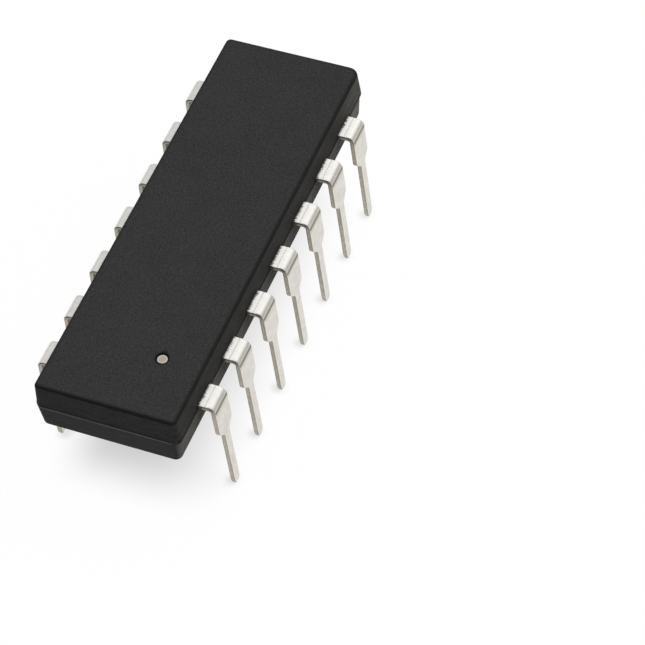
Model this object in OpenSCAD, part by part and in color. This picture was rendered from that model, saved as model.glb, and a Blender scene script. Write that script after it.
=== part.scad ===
// Dual in-line integrated circuit: a moulded body closed round a stamped and formed lead frame,
// with the die, its adhesive and its bond wires sealed inside.
// Millimetres, Z up. The origin lies midway between the lead rows, in the plane of the lead tips.
// X runs along the rows away from the pin-one end. Lead 1 is at low X and low Y, and the numbers
// go counter-clockwise seen from above.

/* [Body] */
// Width of the body at the parting line
body_w = 6.5; // [6.1:0.05:7.1]
// Length of the body past the centre of each end lead
end_l = 2.58; // [1.6:0.02:3]
// Height of the body above the parting line
upper_h = 1.22; // [1.12:0.02:2]
// Depth of the body below the parting line
lower_h = 1.3; // [1.1:0.02:2]
// Draft of the upper walls in degrees
upper_draft = 4; // [1:0.5:8]
// Draft of the lower walls in degrees
lower_draft = 6; // [1:0.5:7]
// Radius of the upright corners at the parting line
corner_r = 0.42; // [0.3:0.01:0.9]
// Radius of the edges round the top and bottom faces
edge_r = 0.12; // [0.05:0.01:0.14]

/* [Pin one mark and ejector marks] */
// Distance of the pin-one mark from the end of the body
dot_from_end = 3.05; // [1.5:0.05:5]
// Distance of the pin-one mark from the side of the body
dot_from_side = 1.92; // [1.3:0.02:3]
// Diameter of the moulded recess of the mark
dot_recess_d = 0.56; // [0.5:0.01:1.2]
// Depth of the recess
dot_recess_h = 0.06; // [0.05:0.01:0.12]
// Gap between the ink and the wall of the recess
dot_gap = 0.06; // [0.03:0.01:0.1]
// Thickness of the ink
dot_h = 0.04; // [0.02:0.01:0.05]
// Diameter of the ejector marks on the underside
ejector_d = 1.6; // [1:0.1:2.5]
// Depth of the ejector marks
ejector_h = 0.05; // [0.03:0.01:0.1]
// Distance of the ejector marks from the ends of the body
ejector_from_end = 4.2; // [2:0.1:6]

/* [Leads] */
// Spacing of the leads along a row
pitch = 2.54; // [2.3:0.01:2.8]
// Thickness of the lead frame
lead_t = 0.22; // [0.2:0.01:0.3]
// Width of the lead at its shoulder
shoulder_w = 1.2; // [1:0.05:1.5]
// Flat run of the lead outside the body before its bend
lead_run = 0.42; // [0.2:0.02:0.6]
// Radius inside the bend
bend_r = 0.1; // [0.08:0.01:0.3]
// Outward lean of the legs in degrees
splay = 1.5; // [1:0.5:8]
// Gap from the underside of the body to the seating plane
standoff = 0.6; // [0.4:0.05:1]
// Length of the narrow tip below the seating plane
tip_l = 3.52; // [2.9:0.02:3.8]
// Width of the narrow tip
tip_w = 0.44; // [0.42:0.02:0.56]
// Length over which the leg narrows to its tip
taper_l = 0.37; // [0.2:0.01:0.6]
// Length over which the end of the tip is rounded off
tip_round_l = 0.4; // [0.2:0.02:0.6]
// Width of the flat at the very end of the tip
tip_flat_w = 0.12; // [0.06:0.01:0.2]
// Thickness of the flat at the very end of the tip
tip_flat_t = 0.12; // [0.08:0.01:0.18]

/* [Lead frame inside the body] */
// Length of the wide part of a lead that the body grips
anchor_l = 0.7; // [0.6:0.02:0.9]
// Diameter of the hole that the moulding fills to lock a lead
lock_hole_d = 0.4; // [0.3:0.02:0.5]
// Width of an inner finger where it leaves the wide part, measured along the row
finger_root_w = 0.9; // [0.8:0.02:1]
// Width of an inner finger at its bonding end, measured along the row
finger_tip_w = 0.6; // [0.5:0.02:0.64]
// Spacing of the bonding ends along the sides of the die pad
finger_pitch = 1; // [0.94:0.02:1.1]
// Distance of the end fingers from the middle of the body
end_finger_y = 0.5; // [0.4:0.02:0.7]
// Gap between the die pad and the fingers
finger_gap = 0.25; // [0.2:0.01:0.32]
// Width of the two leads that carry the die pad
pad_lead_w = 0.8; // [0.6:0.02:1]

/* [Die and wires] */
// Length of the die
die_l = 2.2; // [1.9:0.05:2.6]
// Width of the die
die_w = 1.4; // [1.2:0.05:1.6]
// Thickness of the die
die_h = 0.3; // [0.2:0.01:0.4]
// Thickness of the adhesive under the die
attach_h = 0.03; // [0.02:0.005:0.05]
// Width of the adhesive showing round the die
attach_margin = 0.08; // [0.05:0.01:0.12]
// Width of the die pad showing round the die
pad_margin = 0.35; // [0.3:0.01:0.45]
// Thickness of a bond wire across its flats
wire_d = 0.05; // [0.04:0.005:0.07]
// Rise of the loop of a bond wire
wire_loop_h = 0.28; // [0.24:0.01:0.4]
// Spacing of the bonds along the sides of the die
bond_pitch = 0.4; // [0.3:0.02:0.45]
// Distance of the bonds from the edge of the die
bond_inset = 0.1; // [0.08:0.01:0.15]
// Distance of the end bonds from the middle of the die
end_bond_y = 0.3; // [0.2:0.02:0.4]
// Distance of the wire's other bond from the edge of the finger or the die pad
land_inset = 0.15; // [0.1:0.01:0.18]

/* [Hidden] */
$fn = 48;
edge_steps = 4;
bend_steps = 8;
tip_steps = 6;
wire_steps = 8;
wire_sides = 6;
// The wall points of the moulding lie on this grid, so that its prisms and corners share their edges.
grid = 0.0001;

// The middle lead of each row is one piece with the die pad, so a row has an odd number of leads.
leads_per_side = 7;
lead_count = 2 * leads_per_side;
end_step = (leads_per_side - 1) / 2;
PAD_LEADS = [end_step + 1, lead_count - end_step];
SIGNAL_LEADS = [for (i = [1 : lead_count]) if (i != PAD_LEADS[0] && i != PAD_LEADS[1]) i];

body_l = (leads_per_side - 1) * pitch + 2 * end_l;
wall_y = body_w / 2;
underside_z = tip_l + standoff;
parting_z = underside_z + lower_h;
top_z = parting_z + upper_h;
frame_top_z = parting_z + lead_t;

bend_y = wall_y + lead_run;
bend_z = parting_z - bend_r;
bend_outer_r = bend_r + lead_t;

root_y = wall_y - anchor_l;
lock_y = wall_y - anchor_l / 2;
pad_l = die_l + 2 * pad_margin;
pad_w = die_w + 2 * pad_margin;
die_z = frame_top_z + attach_h;
bond_z = die_z + die_h;

// Row of a lead, as the sign of its Y, and its steps along X from the middle of the row.
function row(i) = i <= leads_per_side ? -1 : 1;
function steps(i) = i <= leads_per_side ? i - end_step - 1 : lead_count - end_step - i;

// Draws a lead's shape, made in the row at high Y, in the row of lead i.
module in_row(i) {
    if (row(i) < 0) mirror([0, 1, 0]) children();
    else children();
}

function on_grid(v) = round(v / grid) * grid;

function reversed(list) = [for (s = [1 : len(list)]) list[len(list) - s]];

// Wall of one half of the moulding as [inset, height] points: a drafted rise from the parting
// line that turns into the flat face through an arc.
function wall_profile(h, draft) =
    let (
        centre_z = h - edge_r,
        centre_in = centre_z * tan(draft) + edge_r / cos(draft)
    )
    concat([[0, 0]], [
        for (s = [0 : edge_steps])
            let (a = draft + s * (90 - draft) / edge_steps)
            [on_grid(centre_in - edge_r * cos(a)), on_grid(centre_z + edge_r * sin(a))]
    ]);

// The section across one half of the moulding, with its walls at half_w from the middle.
module half_section(wall, half_w) {
    polygon(concat(
        [for (p = wall) [half_w - p[0], p[1]]],
        [for (p = reversed(wall)) [p[0] - half_w, p[1]]]));
}

// One half of the moulding, rising from the parting line: two crossed prisms and four turned corners.
module half_moulding(h, draft) {
    wall = wall_profile(h, draft);
    rotate([90, 0, 0])
        linear_extrude(body_w - 2 * corner_r, center = true) half_section(wall, body_l / 2);
    rotate([90, 0, 90])
        linear_extrude(body_l - 2 * corner_r, center = true) half_section(wall, body_w / 2);
    for (turn = [0 : 3]) {
        end = turn == 0 || turn == 3 ? 1 : -1;
        side = turn < 2 ? 1 : -1;
        translate([end * (body_l / 2 - corner_r), side * (wall_y - corner_r), 0])
            rotate(90 * turn)
                rotate_extrude(angle = 90)
                    polygon(concat([[0, 0]], [for (p = wall) [corner_r - p[0], p[1]]], [[0, h]]));
    }
}

module moulding() {
    translate([0, 0, parting_z]) {
        half_moulding(upper_h, upper_draft);
        mirror([0, 0, 1]) half_moulding(lower_h, lower_draft);
    }
}

module at_dot() {
    translate([dot_from_end - body_l / 2, dot_from_side - wall_y, top_z - dot_recess_h]) children();
}

module ejector_marks() {
    for (end = [-1, 1])
        translate([end * (body_l / 2 - ejector_from_end), 0, underside_z - ejector_h])
            cylinder(d = ejector_d, h = 2 * ejector_h);
}

// Bonding end of the finger that lies k steps from the middle of its row.
function finger_tip(k) =
    abs(k) == end_step
        ? [sign(k) * (pad_l / 2 + finger_gap + finger_tip_w / 2), end_finger_y]
        : [k * finger_pitch, pad_w / 2 + finger_gap];

// The inner finger of a signal lead in plan. Its root runs through the anchor to the wall.
module finger_plan(k) {
    x = k * pitch;
    tip = finger_tip(k);
    polygon([
        [x - finger_root_w / 2, wall_y], [x + finger_root_w / 2, wall_y], [x + finger_root_w / 2, root_y],
        [tip[0] + finger_tip_w / 2, tip[1]], [tip[0] - finger_tip_w / 2, tip[1]],
        [x - finger_root_w / 2, root_y]]);
}

// The bar in plan that carries the die pad, from the middle of the pad to the wall.
module bar_plan() {
    translate([-pad_lead_w / 2, 0]) square([pad_lead_w, wall_y]);
}

module frame_flat() {
    translate([0, 0, parting_z]) linear_extrude(lead_t) children();
}

// Points of a bend of radius r, from the end of the flat to the start of the leg.
function bend(r) = [
    for (s = [0 : bend_steps])
        let (a = s * (90 - splay) / bend_steps)
        [bend_y + r * sin(a), bend_z + r * cos(a)]
];

// The rounded end of a tip as [inset, height] points, from the flat at its end up to its full section.
function tip_end(inset) = [
    for (s = [0 : tip_steps])
        let (a = s * 90 / tip_steps)
        [inset * (1 - sin(a)), tip_round_l * (1 - cos(a))]
];

// One face of the leg over its rounded end: it leans out from the point p where the bend ends, and
// turns in to the flat on the given side of it.
function foot(p, side) = [
    for (e = tip_end((lead_t - tip_flat_t) / 2))
        [p[0] + (p[1] - e[1]) * tan(splay) + side * e[0], e[1]]
];

// A bent lead from the side: its anchor and flat, the bend, and the leg, which leans out down to the tip.
module lead_side() {
    outer = bend(bend_outer_r);
    inner = bend(bend_r);
    polygon(concat(
        [[root_y, frame_top_z]], outer, reversed(foot(outer[bend_steps], -1)),
        foot(inner[bend_steps], 1), reversed(inner), [[root_y, parting_z]]));
}

// A lead from the front: a narrow tip with a rounded end that widens to the shoulder.
module lead_front() {
    right = concat(
        [for (e = tip_end((tip_w - tip_flat_w) / 2)) [tip_w / 2 - e[0], e[1]]],
        [[tip_w / 2, tip_l], [shoulder_w / 2, tip_l + taper_l], [shoulder_w / 2, top_z]]);
    polygon(concat(right, [for (p = reversed(right)) [-p[0], p[1]]]));
}

// A lead k steps from the middle of its row: a bent strip cut to the outline of its front, with its
// finger or bar, which is given in plan, and the hole that the moulding fills.
module formed_lead(k) {
    difference() {
        union() {
            translate([k * pitch, 0, 0]) intersection() {
                rotate([90, 0, 90]) linear_extrude(2 * shoulder_w, center = true) lead_side();
                rotate([90, 0, 0]) linear_extrude(4 * body_w, center = true) lead_front();
            }
            frame_flat() children();
        }
        translate([k * pitch, lock_y, parting_z - lead_t]) cylinder(d = lock_hole_d, h = 3 * lead_t);
    }
}

// Ends of bond wire i, on the die and on its finger or the die pad.
function bond_start(i) =
    let (k = steps(i), end = abs(k) == end_step)
    [
        end ? sign(k) * (die_l / 2 - bond_inset) : k * bond_pitch,
        row(i) * (end ? end_bond_y : die_w / 2 - bond_inset),
        bond_z
    ];

function bond_end(i) =
    let (
        k = steps(i),
        tip = finger_tip(k),
        share = land_inset / (root_y - tip[1])
    )
    k == 0
        ? [0, row(i) * (pad_w / 2 - land_inset), frame_top_z]
        : [tip[0] + share * (k * pitch - tip[0]), row(i) * (tip[1] + land_inset), frame_top_z];

// A wire's loop leaves both bonds upright: its plan place follows a half cosine, its rise a half sine.
function wire_centre(a, b, angle) =
    a + (b - a) * (1 - cos(angle)) / 2 + [0, 0, wire_loop_h * sin(angle)];
function wire_heading(a, b, angle) =
    let (h = (b - a) * sin(angle) / 2 + [0, 0, wire_loop_h * cos(angle)]) h / norm(h);

module wire_loop(a, b) {
    level = [a[1] - b[1], b[0] - a[0], 0];
    across = level / norm(level);
    corner_at = wire_d / 2 / cos(180 / wire_sides);
    points = [
        for (s = [0 : wire_steps])
            let (angle = 180 * s / wire_steps, upright = cross(wire_heading(a, b, angle), across))
            for (q = [0 : wire_sides - 1])
                let (turn = 360 * q / wire_sides)
                wire_centre(a, b, angle) + corner_at * (cos(turn) * across + sin(turn) * upright)
    ];
    sides = [
        for (s = [0 : wire_steps - 1]) for (q = [0 : wire_sides - 1])
            let (
                p = s * wire_sides + q,
                next = s * wire_sides + (q + 1) % wire_sides
            )
            each [[p, p + wire_sides, next + wire_sides], [p, next + wire_sides, next]]
    ];
    ends = [
        [for (q = [0 : wire_sides - 1]) q],
        [for (q = [1 : wire_sides]) (wire_steps + 1) * wire_sides - q]
    ];
    polyhedron(points, concat(sides, ends));
}

module body() {
    color([0.17, 0.17, 0.175]) difference() {
        moulding();
        at_dot() cylinder(d = dot_recess_d, h = 2 * dot_recess_h);
        ejector_marks();
        for (i = SIGNAL_LEADS) lead(i);
        die_pad();
        die_attach();
        die();
        for (i = [1 : lead_count]) bond_wire(i);
    }
}

module pin_one_dot() {
    color([0.68, 0.63, 0.57]) at_dot() cylinder(d = dot_recess_d - 2 * dot_gap, h = dot_h);
}

module die_pad() {
    color([0.8, 0.79, 0.76]) {
        frame_flat() square([pad_l, pad_w], center = true);
        for (i = PAD_LEADS) in_row(i) formed_lead(0) bar_plan();
    }
}

module lead(i) {
    color([0.8, 0.79, 0.76]) in_row(i) formed_lead(steps(i)) finger_plan(steps(i));
}

module die_attach() {
    color([0.62, 0.62, 0.6]) translate([0, 0, frame_top_z + attach_h / 2])
        cube([die_l + 2 * attach_margin, die_w + 2 * attach_margin, attach_h], center = true);
}

module die() {
    color([0.33, 0.36, 0.42]) translate([0, 0, die_z + die_h / 2])
        cube([die_l, die_w, die_h], center = true);
}

module bond_wire(i) {
    color([0.9, 0.72, 0.3]) wire_loop(bond_start(i), bond_end(i));
}

body();
pin_one_dot();
die_pad();
die_attach();
die();
for (i = SIGNAL_LEADS)
    lead(i);
for (i = [1 : lead_count])
    bond_wire(i);
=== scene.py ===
import math

import bmesh
import bpy
import numpy as np
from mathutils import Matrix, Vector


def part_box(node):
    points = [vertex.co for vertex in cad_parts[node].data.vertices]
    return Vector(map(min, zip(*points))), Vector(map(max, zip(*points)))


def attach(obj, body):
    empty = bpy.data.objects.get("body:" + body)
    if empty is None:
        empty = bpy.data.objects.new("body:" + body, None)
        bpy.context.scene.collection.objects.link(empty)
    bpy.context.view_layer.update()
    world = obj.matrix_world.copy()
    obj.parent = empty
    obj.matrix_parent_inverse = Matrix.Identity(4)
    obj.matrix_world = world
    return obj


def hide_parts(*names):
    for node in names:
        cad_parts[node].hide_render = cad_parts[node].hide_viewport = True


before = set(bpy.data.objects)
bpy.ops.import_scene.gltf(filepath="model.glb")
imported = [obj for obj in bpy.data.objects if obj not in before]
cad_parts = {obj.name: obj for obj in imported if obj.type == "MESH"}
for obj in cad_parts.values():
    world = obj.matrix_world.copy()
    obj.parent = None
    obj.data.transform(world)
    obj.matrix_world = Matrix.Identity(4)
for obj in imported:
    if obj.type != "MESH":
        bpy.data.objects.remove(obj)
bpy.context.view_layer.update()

bl_info = {
    "name": "Dual in-line circuit",
    "version": (1, 0, 0),
    "blender": (4, 5, 0),
    "location": "3D View > Sidebar > Circuit",
    "description": "Dresses a dual in-line circuit: moulding, ink dot, leads, hidden pieces and a pale stage",
    "category": "Object",
}

MM = 0.001
BODY_LOW, BODY_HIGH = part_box("body")
PAD_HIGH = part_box("die_pad")[1]
INK_LOW, INK_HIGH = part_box("pin_one_dot")
INK_X = (INK_LOW.x + INK_HIGH.x) / 2
INK_Y = (INK_LOW.y + INK_HIGH.y) / 2
INK_RADIUS = (INK_HIGH.x - INK_LOW.x) / 2

# Leads are numbered along one row and back along the other. The middle lead of each row carries the die pad.
LEADS_PER_SIDE = 7
LEADS = 2 * LEADS_PER_SIDE
END_STEP = (LEADS_PER_SIDE - 1) // 2
PAD_LEADS = (END_STEP + 1, LEADS - END_STEP)
SIGNAL_LEADS = [i for i in range(1, LEADS + 1) if i not in PAD_LEADS]

# Points closer than MERGE become one. HAIR parts two stations of a path where its width jumps. The inner end
# of a strip is set back and narrowed by END_ROUND of its edge rounding.
MERGE = 2e-5 * MM
HAIR = 1e-4 * MM
END_ROUND = 0.4

# Float attributes of the moulding's mesh that its finish reads.
MOULDING_WEIGHTS = ("edge", "wall", "long_wall", "flash_highlight", "seam_shadow")


# Settings that a user would change.

def length(name, description, metres):
    """A length setting, in metres."""
    return bpy.props.FloatProperty(
        name=name, description=description, default=metres, min=0.0, precision=6,
        subtype="DISTANCE", unit="LENGTH")


def angle(name, description, degrees):
    """An angle setting, given in degrees."""
    return bpy.props.FloatProperty(
        name=name, description=description, default=math.radians(degrees), subtype="ANGLE", unit="ROTATION")


def colour(name, description, rgb):
    """A colour setting in linear red, green and blue."""
    return bpy.props.FloatVectorProperty(
        name=name, description=description, default=rgb, min=0.0, max=1.0, size=3, subtype="COLOR")


def share(name, description, default):
    """A plain number from 0 to 1."""
    return bpy.props.FloatProperty(
        name=name, description=description, default=default, min=0.0, max=1.0, subtype="FACTOR")


def position(name, description, metres):
    """A position setting, in metres."""
    return bpy.props.FloatVectorProperty(
        name=name, description=description, default=metres, size=3, precision=6,
        subtype="TRANSLATION", unit="LENGTH")


class MouldingSettings(bpy.types.PropertyGroup):
    """Sizes and finish of the moulded body."""

    parting: length("Parting height", "Height of the parting line above the lead tips", 5.42 * MM)
    corner: length("Corner radius", "Radius of the upright corners of the lower half", 0.42 * MM)
    crisp_corner: length("Crisp corner radius", "Radius of the upright corners of the upper half", 0.30 * MM)
    worn_corner: length("Worn corner radius", "Radius of the one worn corner, past lead 7", 0.58 * MM)
    edge: length("Edge radius", "Radius of the edges round the top and bottom faces", 0.12 * MM)
    upper_draft: angle("Upper draft", "Draft of the walls above the parting line", 4.0)
    lower_draft: angle("Lower draft", "Draft of the walls below the parting line", 6.0)
    mismatch: length("Mould mismatch", "Step between the two halves at the parting line", 0.045 * MM)
    # The dark band of the edges, which these widths fade, is painted shade.
    top_fade: length("Top fade", "Width over which the polished edge fades on the top", 0.09 * MM)
    under_fade: length("Under fade", "Width over which the polished edge fades on the underside", 0.05 * MM)
    recess: length("Recess diameter", "Diameter of the recess of the pin-one mark", 0.56 * MM)
    recess_depth: length("Recess depth", "Depth of the recess of the pin-one mark", 0.06 * MM)
    ejector: length("Ejector diameter", "Diameter of the ejector marks on the underside", 1.6 * MM)
    ejector_depth: length("Ejector depth", "Depth of the ejector marks", 0.05 * MM)
    ejector_place: length("Ejector place", "Distance of an ejector mark from the body's middle", 6.0 * MM)
    rim: length("Rim radius", "Radius of the rims of the recess and of the ejector marks", 0.012 * MM)
    compound: colour("Compound", "Colour of the moulding compound", (0.0335, 0.0335, 0.0335))
    # Pale is painted light: the long walls take this colour below the parting line and towards the far end.
    pale: colour("Pale walls", "Colour of the lower half and the rubbed far end", (0.098, 0.094, 0.084))
    # Painted shade: the colour of the edges' dark band, the recess, the darker walls, the compound round the
    # leads and the line under the step.
    painted_shade: colour("Polished edges", "Colour of the smooth edges and of the recess", (0.006, 0.006, 0.006))
    # A pale painted highlight on the step where the lower half stands out, on a thin ridge of resin.
    flash_highlight: colour("Flash", "Colour of the thin flash at the parting line", (0.27, 0.27, 0.262))
    # Wall shade is painted shade: the walls take a darker colour than the top.
    wall_shade: share("Wall shade", "How far the walls are smoother and darker than the top", 0.48)
    roughness: share("Roughness", "Roughness of the moulded surface", 0.62)


class InkSettings(bpy.types.PropertyGroup):
    """Finish of the pin-one dot."""

    dome: length("Dome", "Rise of the middle of the ink over its rim", 0.006 * MM)
    edge: length("Edge radius", "Radius of the rim of the ink", 0.014 * MM)
    ink: colour("Ink", "Colour of the middle of the dot", (0.45, 0.385, 0.315))
    rim: colour("Rim", "Colour of the thicker ink at the rim", (0.60, 0.56, 0.49))
    speck: colour("Speck", "Colour of the dark grains in the ink", (0.30, 0.26, 0.21))


class LeadSettings(bpy.types.PropertyGroup):
    """Sizes and finish of the formed leads."""

    pitch: length("Pitch", "Spacing of the leads along a row", 2.54 * MM)
    sheet: length("Sheet", "Thickness of the lead frame", 0.22 * MM)
    shoulder: length("Shoulder width", "Width of a lead at its shoulder", 1.2 * MM)
    run: length("Flat run", "Flat run of a lead outside the body before its bend", 0.42 * MM)
    bend: length("Bend radius", "Radius inside the bend", 0.1 * MM)
    splay: angle("Splay", "Outward lean of the legs", 1.5)
    tip: length("Tip length", "Length of the narrow tip", 3.52 * MM)
    tip_width: length("Tip width", "Width of the narrow tip", 0.44 * MM)
    taper: length("Taper", "Length over which a leg narrows to its tip", 0.37 * MM)
    tip_round: length("Tip rounding", "Length over which the end of the tip is rounded off", 0.4 * MM)
    tip_flat: length("Tip flat", "Width and thickness of the flat at the very end of the tip", 0.12 * MM)
    anchor: length("Anchor", "Length of the wide part of a lead inside the body", 0.7 * MM)
    finger_root: length("Finger root", "Width of an inner finger at its root", 0.9 * MM)
    finger_tip: length("Finger tip", "Width of an inner finger at its bonding end", 0.6 * MM)
    finger_pitch: length("Finger pitch", "Spacing of the bonding ends", 1.0 * MM)
    finger_gap: length("Finger gap", "Gap between the die pad and the fingers", 0.25 * MM)
    end_finger: length("End finger", "Distance of the end fingers from the middle of the body", 0.5 * MM)
    bar: length("Bar width", "Width of the bars that carry the die pad", 0.8 * MM)
    bar_start: length("Bar start", "Distance of the bars' inner ends from the middle of the body", 0.2 * MM)
    pad_width: length("Pad width", "Width of the die pad across the rows", 2.1 * MM)
    rounding: length("Edge rounding", "Radius of the stamped edges", 0.035 * MM)
    line: length("Line place", "Distance of the fine tool mark from the start of the bend", 0.15 * MM)
    crease: length("Crease depth", "Depth of the tool mark at the end of the bend", 0.012 * MM)
    blend: length("Outline rounding", "Length over which the corners of the taper are eased", 0.11 * MM)
    plating: colour("Plating", "Colour of the plated faces", (0.81, 0.78, 0.71))
    # A painted highlight on the shoulder, where the forming tool rubbed the plating smoother.
    burnish_highlight: colour("Burnish", "Colour of the plating where the forming tool rubbed it", (0.98, 0.965, 0.915))
    # Painted shade round the bend and over the top of the leg.
    bend_shade_tint: colour("Dull", "Colour that the plating round the bend is multiplied by", (0.72, 0.70, 0.64))
    # A painted highlight along the rim of the sheared edges.
    rim: colour("Rim", "Colour of the bright rim beside the sheared edges", (0.98, 0.975, 0.96))
    cut: colour("Cut edge", "Colour of the sheared edges", (0.50, 0.455, 0.385))
    film: colour("Resin film", "Colour of the film of compound at the body", (0.05, 0.05, 0.048))


class StageSettings(bpy.types.PropertyGroup):
    """The camera, the light and the floor."""

    eye: position("Camera place", "Where the camera stands", (-70.422 * MM, -42.169 * MM, 101.537 * MM))
    turn: bpy.props.FloatVectorProperty(
        name="Camera turn", description="Rotation of the camera about X, Y and Z", size=3, subtype="EULER",
        default=tuple(math.radians(a) for a in (38.3642, 4.719, -68.1183)))
    lens: bpy.props.FloatProperty(
        name="Lens", description="Focal length in millimetres", default=167.48, min=1.0,
        subtype="DISTANCE_CAMERA")
    sensor: bpy.props.FloatProperty(
        name="Sensor", description="Width of the sensor in millimetres", default=36.0, min=1.0,
        subtype="DISTANCE_CAMERA")
    floor: colour("Floor", "Colour of the floor", (0.93, 0.93, 0.93))
    floor_half: length("Floor reach", "Distance of the floor's edges from the object", 1.5)
    floor_drop: length("Floor drop", "Gap between the lead tips and the floor", 0.002 * MM)
    lift: share("Floor lift", "Share of plain white seen in the floor under the body", 0.46)
    clear_lift: share("Clear floor lift", "The same share outside the body", 0.98)
    key: bpy.props.FloatProperty(
        name="Key light", description="Power of the soft light over lead 1's side", default=1.6, min=0.0,
        subtype="POWER", unit="POWER")
    key_place: position("Key place", "Where the key light hangs", (0.08, -0.28, 0.32))
    key_size: length("Key size", "Width and height of the key light", 0.5)
    room: bpy.props.FloatProperty(
        name="Room light", description="Strength of the pale room", default=0.85, min=0.0)


# Shader expressions.

def math_operator(operation, swapped=False):
    """A method that adds a Math node. A reflected form has its operands swapped."""
    def method(self, *other):
        values = (*other, self) if swapped else (self, *other)
        return self.finish.math(operation, *values)
    return method


class Value:
    """A shader socket. Arithmetic with numbers or other values adds Math nodes."""

    def __init__(self, finish, socket):
        self.finish = finish
        self.socket = socket

    __add__ = __radd__ = math_operator("ADD")
    __mul__ = __rmul__ = math_operator("MULTIPLY")
    __sub__ = math_operator("SUBTRACT")
    __rsub__ = math_operator("SUBTRACT", swapped=True)
    __truediv__ = math_operator("DIVIDE")
    __rtruediv__ = math_operator("DIVIDE", swapped=True)
    __pow__ = math_operator("POWER")
    __rpow__ = math_operator("POWER", swapped=True)
    __abs__ = math_operator("ABSOLUTE")


# Sockets of a Mix node that mixes colours.
MIX_FACTOR, MIX_A, MIX_B, MIX_RESULT = 0, 6, 7, 2
BLACK = (0.0, 0.0, 0.0)
WHITE = (1.0, 1.0, 1.0)

# Features to the metre of the finest grain, which several finishes share.
FINE_GRAIN = 24.0 / MM


def times(rgb, factor):
    """A colour made lighter or darker by a factor."""
    return tuple(c * factor for c in rgb)


class Finish:
    """The node tree of a material or the world, with one method that adds any node."""

    def __init__(self, owner):
        owner.use_nodes = True
        self.owner = owner
        self.tree = owner.node_tree
        self.tree.nodes.clear()

    def add(self, kind, settings=(), sockets=(), out=0):
        """Adds a node of this type: its settings first, then values or links for its sockets. Gives one of
        its outputs, if it has any."""
        node = self.tree.nodes.new(kind)
        for key, value in dict(settings).items():
            setattr(node, key, value)
        for key, value in dict(sockets).items():
            if isinstance(value, Value):
                self.tree.links.new(value.socket, node.inputs[key])
            else:
                node.inputs[key].default_value = value
        return Value(self, node.outputs[out]) if node.outputs else None

    def math(self, operation, *values):
        """A Math node on one or more values."""
        return self.add("ShaderNodeMath", {"operation": operation}, dict(enumerate(values)))

    def largest(self, first, *others):
        """The largest of several values."""
        for other in others:
            first = self.math("MAXIMUM", first, other)
        return first

    def ramp(self, value, low, high):
        """0 below low, 1 above high and a smooth step between."""
        sockets = {"Value": value, "From Min": low, "From Max": high}
        return self.add("ShaderNodeMapRange", {"interpolation_type": "SMOOTHSTEP"}, sockets)

    def fade(self, value, low, high):
        """1 below low, 0 above high and a smooth step between."""
        return 1.0 - self.ramp(value, low, high)

    def band(self, value, middle, inner, outer):
        """1 within inner of the middle, 0 beyond outer and a smooth step between."""
        return self.fade(abs(value - middle), inner, outer)

    def swing(self, noise, strength):
        """Noise about zero, times its strength."""
        return (noise - 0.5) * strength

    def tint(self, factor, a, b, blend="MIX"):
        """Colour a where factor is 0 and b, or a blended with b, where it is 1."""
        a, b = (c if isinstance(c, Value) else (*c, 1.0) for c in (a, b))
        sockets = {MIX_FACTOR: factor, MIX_A: a, MIX_B: b}
        return self.add("ShaderNodeMix", {"data_type": "RGBA", "blend_type": blend}, sockets, MIX_RESULT)

    def place(self):
        """Object coordinates, in metres."""
        return self.add("ShaderNodeTexCoord", out="Object")

    def split(self, vector):
        """The three parts of a vector."""
        first = self.add("ShaderNodeSeparateXYZ", sockets={"Vector": vector})
        return [Value(self, s) for s in first.socket.node.outputs]

    def join(self, *parts):
        """A vector of three parts."""
        return self.add("ShaderNodeCombineXYZ", sockets=dict(enumerate(parts)))

    def dot(self, vector, way):
        """How far a vector points along a way."""
        return self.add("ShaderNodeVectorMath", {"operation": "DOT_PRODUCT"}, {0: vector, 1: way}, "Value")

    def noise(self, vector, rate, detail=2.0, roughness=0.5):
        """Soft noise from 0 to 1 with rate features to the vector's unit."""
        sockets = {"Vector": vector, "Scale": rate, "Detail": detail, "Roughness": roughness}
        return self.add("ShaderNodeTexNoise", {"normalize": True}, sockets)

    def lines(self, *parts, roughness=0.65):
        """Noise drawn out into lines: each part is a coordinate times its own features to the unit."""
        return self.noise(self.join(*parts), 1.0, detail=3.0, roughness=roughness)

    def own(self, name):
        """A float attribute of the piece's own mesh."""
        return self.add("ShaderNodeAttribute", {"attribute_name": name}, out="Fac")

    def bump(self, height, relief):
        """A normal that follows a height, which is in units of the relief."""
        return self.add("ShaderNodeBump", sockets={"Height": height, "Distance": relief, "Strength": 1.0})

    def surface(self, **sockets):
        """Ends the tree in a Principled BSDF with these sockets, an underscore standing for a space."""
        named = {key.replace("_", " "): value for key, value in sockets.items()}
        shader = self.add("ShaderNodeBsdfPrincipled", sockets=named)
        self.add("ShaderNodeOutputMaterial", sockets={"Surface": shader})
        return self.owner


def finish(name):
    """The empty node tree of a new material."""
    return Finish(bpy.data.materials.new(name))


def row_end(leads):
    """Distance of the middle of an end lead from the middle of its row."""
    return END_STEP * leads.pitch


def bend_end(leads):
    """Way along the sheet of a lead from the wall of the body to the end of its bend."""
    return leads.run + (math.pi / 2 - leads.splay) * (leads.bend + leads.sheet / 2)


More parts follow.
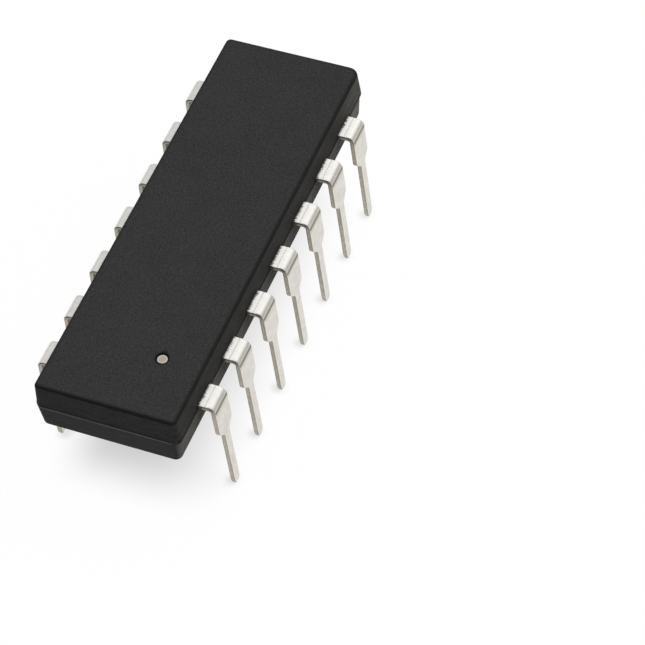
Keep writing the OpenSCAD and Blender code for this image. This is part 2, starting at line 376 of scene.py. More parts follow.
def moulding_finish(s, leads):
    """Charcoal compound: fine grains of filler, the tooth of a spark-eroded mould and faint lines along the
    walls. Painted shade darkens the walls against the top, the edges, most of all towards the pin-one end and
    lead 1's row, the pin-one recess and the compound over and beside the leads; the edges are also a little
    smoother. The long walls are warmer, and painted light makes them lighter below the parting line and
    towards the far end. The step at the parting line carries a pale painted highlight where the lower half
    stands out and a painted shadow where the upper half does."""
    f = finish("moulded_compound")
    at = f.place()
    x, y, z = f.split(at)
    rise = z - s.parting
    edge, wall, long_wall, flash_highlight, seam_shadow = (f.own(key) for key in MOULDING_WEIGHTS)
    grain = f.noise(at, FINE_GRAIN, roughness=0.6)
    tooth = f.noise(at, 11 / MM, detail=3.0, roughness=0.6)
    cloud = f.noise(at, 0.7 / MM)
    lined = f.lines(x * (1.2 / MM), y * (1.2 / MM), z * (11 / MM), roughness=0.6)

    # The compound, with painted shade on the walls and painted light on the long walls.
    darkest, lightest = 0.58, 1.42
    tone = 0.5 + f.swing(grain, 2.2) + f.swing(tooth, wall * 1.3 + 1.7) + f.swing(cloud, 0.25)
    tone = tone + f.swing(lined, wall * 2.8)
    body = f.tint(tone, times(s.compound, darkest), times(s.compound, lightest))
    warmth = (1.02, 1.01, 0.89)
    warm = f.tint(long_wall, body, warmth, "MULTIPLY")
    # Painted shade: the walls, the long walls more so, take a darker colour than the top.
    walls = f.tint((wall + long_wall * 0.2) * s.wall_shade, warm, s.painted_shade)
    # Painted light: the long walls turn lighter below the parting line and towards the far end, streaked by
    # the lines.
    lower = f.fade(rise, -0.17 * MM, -0.12 * MM)
    rubbed = f.ramp(x, 6.5 * MM, 9.8 * MM)
    painted_light_walls = f.tint(long_wall * (lower * 0.5 + rubbed * 0.32) * (lined * 2.4 - 0.2), walls, s.pale)

    # Painted shade on the edges, in the recess and on the compound over and beside the leads.
    side = leads.shoulder / 2
    row = row_end(leads)
    step = f.math("PINGPONG", x, leads.pitch / 2)
    by_row = f.fade(abs(x), row + 0.9 * MM, row + 1.0 * MM) * long_wall
    # Painted shade on the compound just over each lead, and beside it at the parting line.
    shade_over_lead = f.fade(step, side - 0.05 * MM, side + 0.12 * MM) * by_row
    shade_over_lead = shade_over_lead * f.ramp(rise, 0.0, 0.1 * MM) * f.fade(rise, 0.35 * MM, 0.95 * MM)
    beside = f.fade(step, side, side + 0.26 * MM) * by_row * f.band(rise, 0.06 * MM, 0.08 * MM, 0.34 * MM)
    dark = f.largest(edge * (tooth * 0.3 + 0.74), shade_over_lead * 0.3, beside * (0.4 + tooth * 0.6))
    smooth = f.tint(dark, painted_light_walls, s.painted_shade)

    # The step: a pale painted highlight where the lower half stands out, a painted shadow where the upper
    # does.
    seam_shadowed = f.tint(f.ramp(seam_shadow, 0.3, 0.8) * (0.6 + grain * 0.4), smooth, times(s.painted_shade, 0.2))
    flash_highlighted = f.tint(f.ramp(flash_highlight, 0.5, 0.9) * (0.2 + grain * 0.4 + cloud * 0.4), seam_shadowed, s.flash_highlight)
    return f.surface(
        Base_Color=flash_highlighted,
        Roughness=s.roughness - 0.06 + tooth * 0.16 - edge * 0.05,
        Specular_IOR_Level=0.08,
        Normal=f.bump(tooth + grain * 0.6 + lined * wall * 0.8, 0.0055 * MM))


def ink_finish(s):
    """Beige ink that is thicker and paler at its rim, with a fine grain."""
    f = finish("beige_ink")
    at = f.place()
    x, y, _ = f.split(at)
    dx = x - INK_X
    dy = y - INK_Y
    reach = (dx * dx + dy * dy) ** 0.5 / INK_RADIUS
    grain = f.noise(at, FINE_GRAIN, detail=3.0, roughness=0.6)
    blot = f.noise(at, 6.5 / MM)
    body = f.tint(f.ramp(reach + f.swing(blot, 0.3), 0.6, 0.86), s.ink, s.rim)
    return f.surface(
        Base_Color=f.tint(grain * 0.5, body, s.speck),
        Roughness=0.55 + blot * 0.2,
        Specular_IOR_Level=0.3,
        Normal=f.bump(grain, 0.004 * MM))


def plating_finish(s):
    """Satin tin, brushed along the lead and lightly spotted, smoother and faintly crowned where the forming
    tool rubbed the shoulder. A painted highlight lightens the shoulder and painted shade darkens the bend.
    The sheared edges are browner and streaked, with painted shade that is darkest at the shoulder, a painted
    highlight along their rim and lines of painted shade along both faces. Tool marks cross the shoulder and
    the end of the bend, their grooves darkened by painted shade, and ragged teeth of compound lie on the lead
    where it leaves the body."""
    f = finish("brushed_tin")
    at = f.place()
    x, _, _ = f.split(at)
    along, depth, cut = (f.own(key) for key in ("along", "depth", "cut"))
    end = bend_end(s)
    hair = f.lines(x * (26 / MM), along * (1.4 / MM), 0.0)
    streak = f.lines(depth * 5.0, along * (5.2 / MM), x * (0.3 / MM))
    ragged = f.lines(x * (17 / MM), along * (2.5 / MM), 0.0, roughness=0.7)
    blot = f.noise(at, 3.6 / MM, detail=3.0, roughness=0.6)
    fine = f.noise(at, FINE_GRAIN, roughness=0.6)

    # The faces: a painted highlight on the burnished shoulder and painted shade round the bend.
    rubbed = f.fade(along, s.run + 0.08 * MM, end + 0.04 * MM)
    tone = 0.5 + f.swing(hair, 0.9) + f.swing(blot, 1.5) + f.swing(fine, 1.2)
    plate = f.tint(rubbed, s.plating, s.burnish_highlight)
    face = f.tint(tone, f.tint(0.24 - rubbed * 0.07, plate, BLACK), f.tint(0.2, plate, WHITE))
    # Painted shade round the bend and over the top of the leg.
    bend_shade = f.ramp(along, s.run + 0.06 * MM, end) * f.fade(along, end, end + 0.35 * MM)
    face = f.tint(bend_shade, face, s.bend_shade_tint, "MULTIPLY")

    # The sheared edges, where cut is 1. Depth runs from 0 at the outer face to 1 at the inner face.
    side = f.largest(f.ramp(cut, 0.55, 0.85), f.ramp(cut, 0.1, 0.4) * f.ramp(depth, 0.5, 0.7))
    # A painted highlight along the rim, and lines of painted shade along both faces.
    rim = f.ramp(cut, 0.08, 0.3) * f.fade(cut, 0.5, 0.7)
    outer_shade_line = f.band(depth, 0.26, 0.07, 0.2) * (0.15 + rubbed * 0.85)
    inner_shade_line = f.ramp(depth, 0.76, 0.9) * (0.4 + rubbed * 0.6)
    sheared = f.tint(streak * 1.8 - 0.4, times(s.cut, 1.35), times(s.cut, 0.6))
    # Painted shade darkens the sheared edges at the shoulder.
    sheared = f.tint(rubbed * 0.6, sheared, times(s.cut, 0.35))
    sheared = f.tint(f.largest(outer_shade_line, inner_shade_line) * 0.85, sheared, times(s.cut, 0.12))
    metal = f.tint(side, f.tint(rim * 0.85, face, s.rim), sheared)

    # The tool marks, their grooves darkened by painted shade, and the teeth of compound.
    crease = f.band(along, end, 0.015 * MM, 0.1 * MM) * (0.55 + blot * 0.4)
    line = f.band(along, s.run - s.line, 0.008 * MM, 0.03 * MM) * 0.38
    groove_shaded = f.tint(f.largest(crease, line) * (1.0 - side), metal, times(s.cut, 0.22))
    tooth = f.math("PINGPONG", x + f.swing(ragged, 0.25 * MM), 0.045 * MM)
    reach = tooth * (ragged * 3.0 + blot * 3.0 - 1.0) + f.swing(blot, 0.06 * MM) + side * (0.08 * MM)
    film = f.fade(along - reach, -0.045 * MM, 0.045 * MM) * f.ramp(along, -0.2 * MM, -0.15 * MM)

    relief = 0.0030 * MM
    crown_slope = 0.25
    crown = f.math("MINIMUM", along, s.run + 0.04 * MM) * (crown_slope / relief)
    matt = f.fade(along, 0.6 * s.run, s.run + 0.12 * MM) * (1.0 - side) * 0.6
    rough = 0.30 - rubbed * 0.08 + hair * 0.10 + blot * 0.08 + side * 0.12 + film * 0.2 + matt * 0.2
    return f.surface(
        Base_Color=f.tint(film, groove_shaded, s.film),
        Metallic=1.0 - f.largest(film * 0.92, matt),
        Roughness=rough,
        Normal=f.bump(hair * 0.5 + fine * 0.7 + streak * side * 0.8 - crown, relief))


def silicon_finish():
    """Polished silicon with rows of circuit blocks."""
    f = finish("polished_silicon")
    at = f.place()
    speck = f.noise(at, 40 / MM)
    block = f.add("ShaderNodeTexBrick", {"offset": 0.5}, {
        "Vector": at, "Scale": 1.0,
        "Brick Width": 0.19 * MM, "Row Height": 0.09 * MM, "Mortar Size": 0.012 * MM,
        "Color1": (0.10, 0.115, 0.15, 1), "Color2": (0.15, 0.14, 0.13, 1), "Mortar": (0.045, 0.05, 0.065, 1)})
    return f.surface(
        Base_Color=f.tint(speck * 0.35, block, (0.06, 0.065, 0.08)), Metallic=0.35,
        Roughness=0.14 + speck * 0.12)


def adhesive_finish():
    """Grey adhesive filled with bright flakes."""
    f = finish("filled_adhesive")
    at = f.place()
    flake = f.noise(at, 36 / MM, detail=3.0, roughness=0.7)
    blot = f.noise(at, 5 / MM)
    return f.surface(
        Base_Color=f.tint(flake, (0.22, 0.22, 0.215), (0.58, 0.58, 0.56)),
        Metallic=f.ramp(flake, 0.5, 0.7) * 0.7,
        Roughness=0.42 + blot * 0.2,
        Normal=f.bump(flake, 0.004 * MM))


def gold_finish():
    """Drawn gold wire with faint die lines and spots."""
    f = finish("drawn_gold")
    at = f.place()
    spot = f.noise(at, 20 / MM, detail=3.0, roughness=0.6)
    line = f.noise(at, 90 / MM, detail=1.0)
    return f.surface(
        Base_Color=f.tint(spot, (0.80, 0.55, 0.18), (0.92, 0.72, 0.32)), Metallic=1.0,
        Roughness=0.18 + line * 0.14)


def floor_finish(s, leads):
    """Pale matt paper, mixed with plain white where the camera and shiny pieces see it. The white gives way
    to the shadow under the body and round the lead tips."""
    f = finish("pale_floor")
    at = f.place()
    x, y, _ = f.split(at)
    paper = f.noise(at, 0.9 / MM, detail=3.0)
    matt = f.add("ShaderNodeBsdfDiffuse", sockets={"Color": f.tint(paper * 0.1, s.floor, (0.9, 0.9, 0.9))})
    white = f.add("ShaderNodeEmission", sockets={"Color": (*WHITE, 1.0), "Strength": 1.0})
    rays = ("Is Camera Ray", "Is Glossy Ray", "Is Transmission Ray")
    seen = f.largest(*(f.add("ShaderNodeLightPath", out=ray) for ray in rays))

    # The shade under the body, whose edge on lead 1's side runs a little askew, and the shade round the tips.
    lean = x * 0.06
    covered = f.fade(abs(x) - BODY_HIGH.x, -2.9 * MM, 0.3 * MM)
    covered = covered * f.ramp(y - BODY_LOW.y - lean, -1.1 * MM, 3.3 * MM)
    covered = covered * f.fade(y - BODY_HIGH.y, -1.6 * MM, 1.0 * MM)
    across = f.math("PINGPONG", x, leads.pitch / 2)
    past = abs(y) - (PAD_HIGH.y - leads.sheet)
    reach = row_end(leads) + 1.0 * MM
    tips = f.fade((across * across + past * past) ** 0.5, 0.1 * MM, 0.55 * MM)
    tips = tips * f.fade(abs(x), reach, reach + 0.2 * MM)
    lift = (s.clear_lift - covered * (s.clear_lift - s.lift)) * (1.0 - tips * 0.25)
    mixed = f.add("ShaderNodeMixShader", sockets={0: seen * lift, 1: matt, 2: white})
    f.add("ShaderNodeOutputMaterial", sockets={"Surface": mixed})
    return f.owner


def pale_room(s):
    """A world that is darker towards the horizon and behind the camera, and brightest above the far end."""
    w = Finish(bpy.data.worlds.new("pale_room"))
    way = w.add("ShaderNodeTexCoord", out="Generated")
    _, _, z = w.split(way)
    above = w.ramp(w.dot(way, (0.54, -0.15, 0.83)), 0.74, 0.98)
    behind = w.ramp(w.dot(way, (-0.62, -0.33, 0.71)), 0.35, 0.95)
    sky = w.tint(w.ramp(z, 0.0, 0.6), times(WHITE, 0.52), times(WHITE, 0.92))
    room = w.tint(behind, w.tint(above, sky, times(WHITE, 1.36)), times(WHITE, 0.13))
    back = w.add("ShaderNodeBackground", sockets={"Color": room, "Strength": s.room})
    w.add("ShaderNodeOutputWorld", sockets={"Surface": back})
    return w.owner


# Surfaces as arrays.

def lifted(plan, heights):
    """Rings of a plan (rows x columns x 2), each row at its own height."""
    return np.concatenate([plan, np.broadcast_to(heights[:, None, None], (*plan.shape[:2], 1))], 2)


def loft(rings, caps=(0, -1)):
    """Points and faces of a shape through rings (rows x columns x 3): quads between neighbouring rings, and
    triangles that close the rings in caps to their middles."""
    rows, columns, _ = rings.shape
    count = rows * columns
    at = np.arange(count).reshape(rows, columns)
    low, high = at[:-1], at[1:]
    quads = np.stack([low, np.roll(low, -1, 1), np.roll(high, -1, 1), high], -1).reshape(-1, 4)
    fans = []
    for k, cap in enumerate(caps):
        fans.append(np.stack([at[cap], np.roll(at[cap], -1), np.full(columns, count + k)], -1))
    points = np.concatenate([rings.reshape(-1, 3), rings[list(caps)].mean(1)])
    return points, [quads, np.concatenate(fans)]


def add_piece(name, shapes, material, nodes, attributes=None, sharp=40.0):
    """Joins shapes (points, list of face arrays) into one object at the origin, merges what coincides, turns
    the faces outwards and lets the piece stand for its CAD nodes. Edges over sharp degrees stay sharp."""
    counts = np.cumsum([0] + [len(points) for points, _ in shapes])
    points = np.concatenate([points for points, _ in shapes])
    faces = [f + first for (_, group), first in zip(shapes, counts) for f in group]
    corners = np.concatenate([f.ravel() for f in faces]).astype(np.int32)
    sizes = np.concatenate([np.full(len(f), f.shape[1]) for f in faces])
    starts = np.concatenate([[0], np.cumsum(sizes)[:-1]]).astype(np.int32)
    mesh = bpy.data.meshes.new(name)
    mesh.vertices.add(len(points))
    mesh.vertices.foreach_set("co", points.astype(np.float32).ravel())
    mesh.loops.add(len(corners))
    mesh.loops.foreach_set("vertex_index", corners)
    mesh.polygons.add(len(sizes))
    mesh.polygons.foreach_set("loop_start", starts)
    mesh.update(calc_edges=True)
    for key, values in (attributes or {}).items():
        mesh.attributes.new(key, "FLOAT", "POINT").data.foreach_set("value", values.astype(np.float32))
    shape = bmesh.new()
    shape.from_mesh(mesh)
    bmesh.ops.remove_doubles(shape, verts=shape.verts, dist=MERGE)
    bmesh.ops.recalc_face_normals(shape, faces=shape.faces)
    shape.to_mesh(mesh)
    shape.free()
    mesh.polygons.foreach_set("use_smooth", np.ones(len(mesh.polygons), bool))
    mesh.set_sharp_from_angle(angle=math.radians(sharp))
    mesh.materials.append(material)
    piece = bpy.data.objects.new(name, mesh)
    bpy.context.scene.collection.objects.link(piece)
    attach(piece, "root")
    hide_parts(*nodes)


def plan_outline(half_l, half_w, radii, per_end=31, per_side=111, per_corner=10):
    """A rounded rectangle with four corner radii, as its core, its outward normals (each n x 2) and its radii
    (n x 1), counter-clockwise from the corner at +x and +y: the outline inset by d is core + normal *
    (radius - d)."""
    radii = np.array(radii)[:, None]
    centres = np.array([[1, 1], [-1, 1], [-1, -1], [1, -1]]) * (np.array([half_l, half_w]) - radii)
    corners = np.concatenate([centres, radii], 1)
    core, normal = [], []
    for k, (a, b) in enumerate(zip(corners, np.roll(corners, -1, 0))):
        turn = np.radians(90 * k + np.linspace(0, 90, per_corner + 1))
        way = np.column_stack([np.cos(turn), np.sin(turn)])
        part = np.linspace(0, 1, (per_side if k % 2 == 0 else per_end) + 2)[1:-1, None]
        core += [np.repeat(a[None], len(way), 0), a + (b - a) * part]
        normal += [way, np.repeat(way[-1:], len(part), 0)]
    core = np.concatenate(core)
    return core[:, :2], np.concatenate(normal), core[:, 2:]


def wall_profile(height, draft, edge, past, steps=8):
    """Wall of one half from the parting line to the flat face, as insets, heights, edge weights and wall
    weights: a drafted rise, an arc of radius edge from the draft's angle to a right angle, and a strip of the
    flat face, past wide."""
    top = height - edge
    middle = top * math.tan(draft) + edge / math.cos(draft)
    arc = np.linspace(draft, math.pi / 2, steps + 1)

    # Shares of the rise and of the strip at which rings lie.
    up = np.array([0.0, 0.012, 0.11, 0.13, 0.5, 0.9, 0.97])
    strip = np.array([0.35, 1.0])
    rise_in = middle - edge * math.cos(draft)
    rise_z = top + edge * math.sin(draft)
    insets = np.concatenate([up * rise_in, middle - edge * np.cos(arc), middle + past * strip])
    heights = np.concatenate([up * rise_z, top + edge * np.sin(arc), np.full(len(strip), height)])
    # Edge weights set how much painted shade the arc of the edge takes.
    polished = np.interp(arc, [draft, 0.4, 0.9, math.pi / 2], [0.0, 0.7, 1.0, 0.7])
    upright = np.interp(arc, [draft, math.pi / 2], [1.0, 0.0])
    edges = np.concatenate([np.zeros(len(up)), polished, [0.4, 0.0]])
    walls = np.concatenate([np.ones(len(up)), upright, np.zeros(len(strip))])
    return insets, heights, edges, walls


# Rings of a dished face from its outline to the rim of its recess, as shares of the way.
FACE_SHARES = np.array([0.0, 0.5, 0.9, 0.985, 1.0])


def dished_face(outline, centre, radius, depth, level, edge, up):
    """Rings of a flat face with one round recess, from its outline (n x 2) in to the middle of the recess.
    Each ring lies on the rays from the recess's centre: a straight blend of the outline into the rim of the
    recess, its rounded rim, wall and floor."""
    ray = outline - centre
    unit = ray / np.linalg.norm(ray, axis=1)[:, None]
    rim = radius + edge
    part = FACE_SHARES[:, None, None]
    flat = centre + ray * (1 - part) + unit * rim * part
    arc = np.linspace(0, math.pi / 2, 5)[1:]
    floor = radius * np.array([0.8, 0.4])
    reach = np.concatenate([rim - edge * np.sin(arc), radius - edge * (1 - np.cos(arc)), floor])
    drops = np.concatenate([edge * (1 - np.cos(arc)), depth - edge * (1 - np.sin(arc)), [depth, depth]])
    plan = np.concatenate([flat, centre + unit * reach[:, None, None]])
    return lifted(plan, level - up * np.concatenate([np.zeros(len(flat)), drops]))


def underside(s, ring, middle):
    """Shapes of the underside inside its outline: two faces that meet across the middle of the body, each
    with one ejector mark."""
    off = np.abs(ring[:, 0] - middle)
    first, second = sorted(np.argmin(off + BODY_HIGH.x * (ring[:, 1] * side < 0)) for side in (1, -1))
    halves = [ring[first:second + 1], np.concatenate([ring[second:], ring[:first + 1]])]
    across = np.linspace(0, 1, 12)[1:-1, None]
    shapes = []
    for outline in halves:
        outline = np.concatenate([outline, outline[-1] + (outline[0] - outline[-1]) * across])
        mark = np.array([math.copysign(s.ejector_place, outline[:, 0].mean()), 0.0])
        rings = dished_face(outline, mark, s.ejector / 2, s.ejector_depth, BODY_LOW.z, s.rim, -1)
        shapes.append(loft(rings, caps=[-1]))
    return shapes


def strip_section(across=9, through=3, per_corner=4):
    """The section of a stamped strip as signs and rounding offsets, both in width and in thickness: a point
    lies at sign * (half size - rounding) + rounding * offset. Points run round from the right edge over the
    outer face."""
    quarter = math.pi / 2
    arc = np.linspace(0, quarter, per_corner)
    sides = []
    corners = [(1, 1, across), (-1, 1, through), (-1, -1, through), (1, -1, through)]
    for k, (sx, sy, count) in enumerate(corners):
        turn = arc + k * quarter
        signs = np.full((per_corner, 2), [sx, sy])
        sides.append(np.column_stack([signs, np.cos(turn), np.sin(turn)]))
        part = np.linspace(1, -1, count + 2)[1:-1]
        flat = np.zeros((count, 4))
        flat[:, 0], flat[:, 1] = (part * sx, sy) if k % 2 == 0 else (sx, part * sy)
        flat[:, 2:] = np.round([math.cos((k + 1) * quarter), math.sin((k + 1) * quarter)])
        sides.append(flat)
    return np.concatenate(sides)


def lead_path(s, m, start_y):
    """Stations along the middle of a lead's sheet: a flat from start_y out through the wall, the arc of the
    bend and a straight leg. Gives their y and z, the turn of the outward normal from upright, the way along
    the sheet from the wall, and the height over the end of the tip along the sheet. They lie closer together
    at the tool marks, at the taper and at the rounded end of the tip."""
    wall = BODY_HIGH.y
    root = wall - s.anchor
    flat_end = wall + s.run
    bend_z = m.parting - s.bend
    mid_r = s.bend + s.sheet / 2
    turn = math.pi / 2 - s.splay
    flat = np.concatenate([
        np.linspace(start_y + END_ROUND * s.rounding, root - HAIR, 6), [root],
        np.linspace(root + 2 * s.rounding, wall, 4)[:-1], np.linspace(wall, flat_end, 15)])
    arc = np.linspace(0, turn, 22)[1:]

    top_y = flat_end + mid_r * math.sin(turn)
    top_z = bend_z + mid_r * math.cos(turn)
    leg_l = (top_z - s.tip_flat / 2 * math.sin(s.splay)) / math.cos(s.splay)
    taper_end = leg_l - s.tip
    taper_start = taper_end - s.taper
    tip = s.tip_round * np.cos(np.linspace(math.pi / 2, 0, 13))

    # Below the bend, the close stations of the tool mark end at mark_end and wider ones start at plain_start.
    mark_end, plain_start = 0.09 * MM, 0.16 * MM
    leg = np.concatenate([
        np.linspace(0, mark_end, 10)[1:],
        np.linspace(plain_start, taper_start - 2 * s.blend, 6),
        np.linspace(taper_start - 1.8 * s.blend, taper_end + 2 * s.blend, 26),
        np.linspace(taper_end + 2.4 * s.blend, leg_l - s.tip_round, 12)[:-1],
        leg_l - s.tip_round + tip])

    y = np.concatenate([flat, flat_end + mid_r * np.sin(arc), top_y + leg * math.sin(s.splay)])
    flat_z = np.full(len(flat), m.parting + s.sheet / 2)
    z = np.concatenate([flat_z, bend_z + mid_r * np.cos(arc), top_z - leg * math.cos(s.splay)])
    facing = np.concatenate([np.zeros(len(flat)), arc, np.full(len(leg), turn)])
    way = np.concatenate([flat - wall, s.run + arc * mid_r, bend_end(s) + leg])
    return y, z, facing, way, bend_end(s) + leg_l - way


def tool_mark(way, at, width, depth):
    """Depth of a groove across a lead: a bell curve about its place along the sheet."""
    return depth * np.exp(-((way - at) / width) ** 2)


def lead_strip(s, m, k, row, start, start_w, root_w):
    """A formed lead as one strip, k steps from the middle of its row: a rounded section carried along its
    path. Inside the body its centre and width run straight from the finger's start to its root. Outside, the
    width follows the leg's outline, eased over a short length, and the end of the tip is a quarter ellipse in
    width and in thickness. Gives points with faces, and the attributes along, depth and cut."""
    start_x, start_y = start
    y, z, facing, way, height = lead_path(s, m, start_y)
    x = k * s.pitch
    root = BODY_HIGH.y - s.anchor
    centre = np.interp(y, [start_y, root - HAIR, root], [start_x, x, x])
    finger = np.interp(y, [start_y, root], [start_w / 2, root_w / 2])
    eased = height[:, None] + np.linspace(-s.blend, s.blend, 9)
    outline = np.interp(eased, [s.tip, s.tip + s.taper], [s.tip_width / 2, s.shoulder / 2]).mean(1)
    taken = 1 - np.sqrt(1 - np.clip(1 - height / s.tip_round, 0, 1) ** 2)
    half = np.where(y < root - HAIR / 2, finger, outline - (s.tip_width - s.tip_flat) / 2 * taken)
    thick = (s.sheet - (s.sheet - s.tip_flat) * taken) / 2
    half[0] -= END_ROUND * s.rounding
    thick[0] -= s.rounding

    # A deep tool mark crosses the outer face where the bend ends, and a fine one lies before its start.
    crease_w, line_w, line_share = 0.018 * MM, 0.014 * MM, 0.35
    groove = tool_mark(way, bend_end(s), crease_w, s.crease)
    groove = groove + tool_mark(way, s.run - s.line, line_w, line_share * s.crease)

    sign_x, sign_out, round_x, round_out = strip_section().T
    over = centre[:, None] + sign_x * np.maximum(half - s.rounding, HAIR)[:, None] + s.rounding * round_x
    out = sign_out * (thick - s.rounding)[:, None] + s.rounding * round_out
    out = out - groove[:, None] * np.clip(round_out, 0, 1)
    outward = row * (y[:, None] + out * np.sin(facing)[:, None])
    rings = np.stack([over, outward, z[:, None] + out * np.cos(facing)[:, None]], -1)
    spread = {
        "along": np.repeat(way[:, None], len(sign_x), 1),
        "depth": 0.5 - out / s.sheet,
        "cut": np.repeat(np.abs(round_x)[None], len(y), 0)}
    values = {key: np.concatenate([v.ravel(), v[[0, -1]].mean(1)]) for key, v in spread.items()}
    values["cut"][-2:] = 1.0
    return loft(rings), values


def finger_start(s, k):
    """Bonding end of the finger k steps from the middle of its row, as x and y."""
    if abs(k) == END_STEP:
        return math.copysign(PAD_HIGH.x + s.finger_gap + s.finger_tip / 2, k), s.end_finger
    return k * s.finger_pitch, s.pad_width / 2 + s.finger_gap


# One operator for each group of pieces.

class CIRCUIT_OT_moulding(bpy.types.Operator):
    """Make the moulded body: two drafted halves that meet in a step, a pin-one recess and ejector marks"""

    bl_idname = "circuit.moulding"
    bl_label = "Moulding"

    def execute(self, context):
        s = context.scene.circuit_moulding
        half = s.mismatch / 2
        upper = np.array([half, -half])
        lower = -upper

        def half_rings(insets, heights, shift, corner):
            """Rings of one half of the body, and the outward normals of its plan."""
            radii = [corner, corner, corner, s.worn_corner]
            core, normal, radius = plan_outline(BODY_HIGH.x - half, BODY_HIGH.y - half, radii)
            return lifted(core + normal * (radius - insets[:, None, None]) + shift, heights), normal

        up_h, low_h = BODY_HIGH.z - s.parting, s.parting - BODY_LOW.z
        up_in, up_z, up_edge, up_wall = wall_profile(up_h, s.upper_draft, s.edge, s.top_fade)
        low_in, low_z, low_edge, low_wall = wall_profile(low_h, s.lower_draft, s.edge, s.under_fade)
        top, normal = half_rings(up_in, s.parting + up_z, upper, s.crisp_corner)
        under, _ = half_rings(low_in, s.parting - low_z, lower, s.corner)
        dot = np.array([INK_X, INK_Y])
        face = dished_face(top[-1, :, :2], dot, s.recess / 2, s.recess_depth, BODY_HIGH.z, s.rim, 1)[1:]
        walls = np.concatenate([under[::-1], top, face])
        shapes = [loft(walls, caps=[-1]), *underside(s, under[-1, :, :2], lower[0])]

        # Weights of the finish. The edges' painted shade is weaker on the edges away from the pin-one end and
        # lead 1's row, the recess is painted shade all over, and the step shows a pale painted highlight or a
        # painted shadow by which half stands out there.
        step, rim = len(under), len(under) + len(top)
        plain = len(FACE_SHARES) - 2
        edge = np.concatenate([low_edge[::-1], up_edge, np.zeros(plain), np.ones(len(face) - plain)])
        wall = np.concatenate([low_wall[::-1], up_wall, np.zeros(len(face))])
        away = np.clip(normal @ [0.85, 0.85], 0.0, 1.0)
        sideways = np.interp(np.abs(normal[:, 1]), [0.6, 0.8], [0.0, 1.0])
        over = np.interp(normal @ (upper - lower) / s.mismatch, [-1 / 3, 1 / 3], [0.0, 1.0])
        weights = {key: np.zeros(walls.shape[:2]) for key in MOULDING_WEIGHTS}
        less_edge_shade = 0.75
        weights["edge"][:rim] = np.outer(edge[:rim], 1.0 - less_edge_shade * away)
        weights["edge"][rim:] = edge[rim:, None]
        weights["wall"][:] = wall[:, None]
        weights["long_wall"][:] = np.outer(wall, sideways)
        weights["flash_highlight"][step - 1:step + 1] = 1.0 - over
        weights["seam_shadow"][step - 2:step + 3] = over
        flat = np.zeros(sum(len(points) for points, _ in shapes[1:]))
        values = {key: np.concatenate([w.ravel(), w[-1, :1], flat]) for key, w in weights.items()}
        material = moulding_finish(s, context.scene.circuit_leads)
        add_piece("moulded_body", shapes, material, ["body"], values, sharp=30.0)
        return {"FINISHED"}


class CIRCUIT_OT_ink_dot(bpy.types.Operator):
    """Make the pin-one dot: a disc of ink with a rounded rim and a faint dome, on the floor of its recess"""

    bl_idname = "circuit.ink_dot"
    bl_label = "Ink dot"

    def execute(self, context):
        s = context.scene.circuit_ink
        turn = np.linspace(0, 2 * math.pi, 72, endpoint=False)
        slow, quick = 0.010, 0.008
        waver = 1 + slow * (np.sin(3 * turn + 0.6) - 1) + quick * (np.sin(7 * turn + 2.0) - 1)
        around = np.column_stack([np.cos(turn), np.sin(turn)]) * waver[:, None]
        arc = np.linspace(0, math.pi / 2, 6)
        inner = np.array([0.85, 0.7, 0.5, 0.25])
        level = INK_HIGH.z - INK_LOW.z - s.dome
        rim = INK_RADIUS - s.edge * (1 - np.cos(arc))
        reach = np.concatenate([[INK_RADIUS * 0.5, INK_RADIUS], rim, INK_RADIUS * inner])
        rise = np.concatenate([[0, 0], level - s.edge * (1 - np.sin(arc)), level + s.dome * (1 - inner ** 2)])
        rings = lifted(np.array([INK_X, INK_Y]) + reach[:, None, None] * around, INK_LOW.z + rise)
        add_piece("pin_one_ink", [loft(rings)], ink_finish(s), ["pin_one_dot"])
        return {"FINISHED"}


class CIRCUIT_OT_signal_leads(bpy.types.Operator):
    """Make the twelve signal leads, each a bent strip with its inner finger"""

    bl_idname = "circuit.signal_leads"
    bl_label = "Signal leads"

    def execute(self, context):
        s, m = context.scene.circuit_leads, context.scene.circuit_moulding
        material = bpy.data.materials.get("brushed_tin") or plating_finish(s)
        for i in SIGNAL_LEADS:
            row = -1 if i <= LEADS_PER_SIDE else 1
            k = i - END_STEP - 1 if row < 0 else LEADS - END_STEP - i
            shape, values = lead_strip(s, m, k, row, finger_start(s, k), s.finger_tip, s.finger_root)
            add_piece(f"formed_lead_{i}", [shape], material, [f"lead_{i}"], values)
        return {"FINISHED"}


class CIRCUIT_OT_die_pad(bpy.types.Operator):
    """Make the die pad with the two middle leads that carry it"""

    bl_idname = "circuit.die_pad"
    bl_label = "Die pad"

    def execute(self, context):
        s, m = context.scene.circuit_leads, context.scene.circuit_moulding
        material = bpy.data.materials.get("brushed_tin") or plating_finish(s)
        made = [lead_strip(s, m, 0, row, (0.0, s.bar_start), s.bar, s.bar) for row in (-1, 1)]
        core, normal, radius = plan_outline(PAD_HIGH.x, s.pad_width / 2, [2 * s.rounding] * 4, 9, 9, 3)
        arc = np.linspace(0, math.pi / 2, 4)

        # The flats close from a ring that lies flat_in roundings inside the outline.
        flat_in = 1.9
        inset = s.rounding * np.concatenate([[flat_in], 1 - np.sin(arc), 1 - np.cos(arc), [flat_in]])
        under = s.rounding * (1 - np.cos(arc))
        rise = np.concatenate([[0], under, s.sheet - s.rounding * (1 - np.sin(arc)), [s.sheet]])
        plate = loft(lifted(core + normal * (radius - inset[:, None, None]), m.parting + rise))

        # The plate counts as a face well inside the body.
        inside = -3 * MM
        count = len(plate[0])
        flat = {"along": np.full(count, inside), "depth": np.zeros(count), "cut": np.zeros(count)}
        values = {key: np.concatenate([flat[key]] + [v[key] for _, v in made]) for key in flat}
        shapes = [plate] + [shape for shape, _ in made]
        add_piece("die_pad_and_leads", shapes, material, ["die_pad"], values)
        return {"FINISHED"}


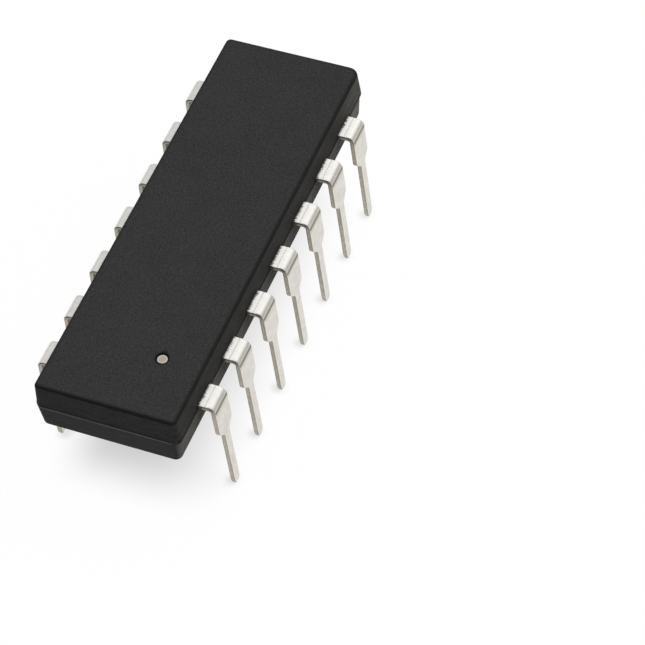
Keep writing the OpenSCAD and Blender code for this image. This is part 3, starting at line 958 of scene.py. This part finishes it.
class CIRCUIT_OT_hidden_pieces(bpy.types.Operator):
    """Finish the pieces sealed in the body: the die, its adhesive and the bond wires"""

    bl_idname = "circuit.hidden_pieces"
    bl_label = "Hidden pieces"

    def execute(self, context):
        gold = gold_finish()
        finishes = {"die": silicon_finish(), "die_attach": adhesive_finish()}
        for name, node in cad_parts.items():
            material = finishes.get(name) or (gold if name.startswith("bond_wire") else None)
            if material:
                node.data.materials.clear()
                node.data.materials.append(material)
        return {"FINISHED"}


class CIRCUIT_OT_stage(bpy.types.Operator):
    """Make the floor, the pale room, the soft light and the camera"""

    bl_idname = "circuit.stage"
    bl_label = "Stage"

    def execute(self, context):
        scene = context.scene
        s = scene.circuit_stage
        scene.view_settings.view_transform = "Standard"
        scene.world = pale_room(s)

        corners = np.array([[-1, -1], [1, -1], [1, 1], [-1, 1]]) * s.floor_half
        mesh = bpy.data.meshes.new("floor")
        mesh.from_pydata([(x, y, -s.floor_drop) for x, y in corners.tolist()], [], [(0, 1, 2, 3)])
        mesh.materials.append(floor_finish(s, scene.circuit_leads))
        floor = bpy.data.objects.new("floor", mesh)
        scene.collection.objects.link(floor)

        lamp = bpy.data.lights.new("key_light", "AREA")
        lamp.energy = s.key
        lamp.shape = "RECTANGLE"
        lamp.size = lamp.size_y = s.key_size
        key = bpy.data.objects.new("key_light", lamp)
        key.location = s.key_place
        key.rotation_euler = (-key.location).to_track_quat("-Z", "Y").to_euler()
        key.visible_glossy = False
        scene.collection.objects.link(key)

        view = bpy.data.cameras.new("camera")
        view.lens = s.lens
        view.sensor_width = s.sensor
        view.clip_start, view.clip_end = 5 * MM, 10.0
        camera = bpy.data.objects.new("camera", view)
        camera.location = s.eye
        camera.rotation_euler = s.turn
        scene.collection.objects.link(camera)
        scene.camera = camera
        return {"FINISHED"}


class CIRCUIT_PT_sidebar(bpy.types.Panel):
    """Lists the pieces and their settings"""

    bl_idname = "CIRCUIT_PT_sidebar"
    bl_label = "Dual in-line circuit"
    bl_space_type = "VIEW_3D"
    bl_region_type = "UI"
    bl_category = "Circuit"

    def draw(self, context):
        for label, settings, operators in PANEL:
            box = self.layout.box()
            box.label(text=label)
            for name in operators:
                box.operator(name)
            group = getattr(context.scene, settings)
            for key in group.bl_rna.properties.keys():
                if key not in ("rna_type", "name"):
                    box.prop(group, key)


PANEL = [
    ("Moulding", "circuit_moulding", ["circuit.moulding"]),
    ("Ink dot", "circuit_ink", ["circuit.ink_dot"]),
    ("Leads", "circuit_leads", ["circuit.signal_leads", "circuit.die_pad", "circuit.hidden_pieces"]),
    ("Stage", "circuit_stage", ["circuit.stage"]),
]
SETTINGS = {
    "circuit_moulding": MouldingSettings,
    "circuit_ink": InkSettings,
    "circuit_leads": LeadSettings,
    "circuit_stage": StageSettings,
}
CLASSES = [
    *SETTINGS.values(), CIRCUIT_OT_moulding, CIRCUIT_OT_ink_dot, CIRCUIT_OT_signal_leads, CIRCUIT_OT_die_pad,
    CIRCUIT_OT_hidden_pieces, CIRCUIT_OT_stage, CIRCUIT_PT_sidebar]


def register():
    """Registers the classes and hangs the settings on the scene."""
    for cls in CLASSES:
        bpy.utils.register_class(cls)
    for name, group in SETTINGS.items():
        setattr(bpy.types.Scene, name, bpy.props.PointerProperty(type=group))


def unregister():
    """Undoes register."""
    for name in SETTINGS:
        delattr(bpy.types.Scene, name)
    for cls in reversed(CLASSES):
        bpy.utils.unregister_class(cls)


def main():
    """Makes the pieces and the stage."""
    register()
    bpy.ops.circuit.moulding()
    bpy.ops.circuit.ink_dot()
    bpy.ops.circuit.signal_leads()
    bpy.ops.circuit.die_pad()
    bpy.ops.circuit.hidden_pieces()
    bpy.ops.circuit.stage()


if __name__ == "__main__":
    main()
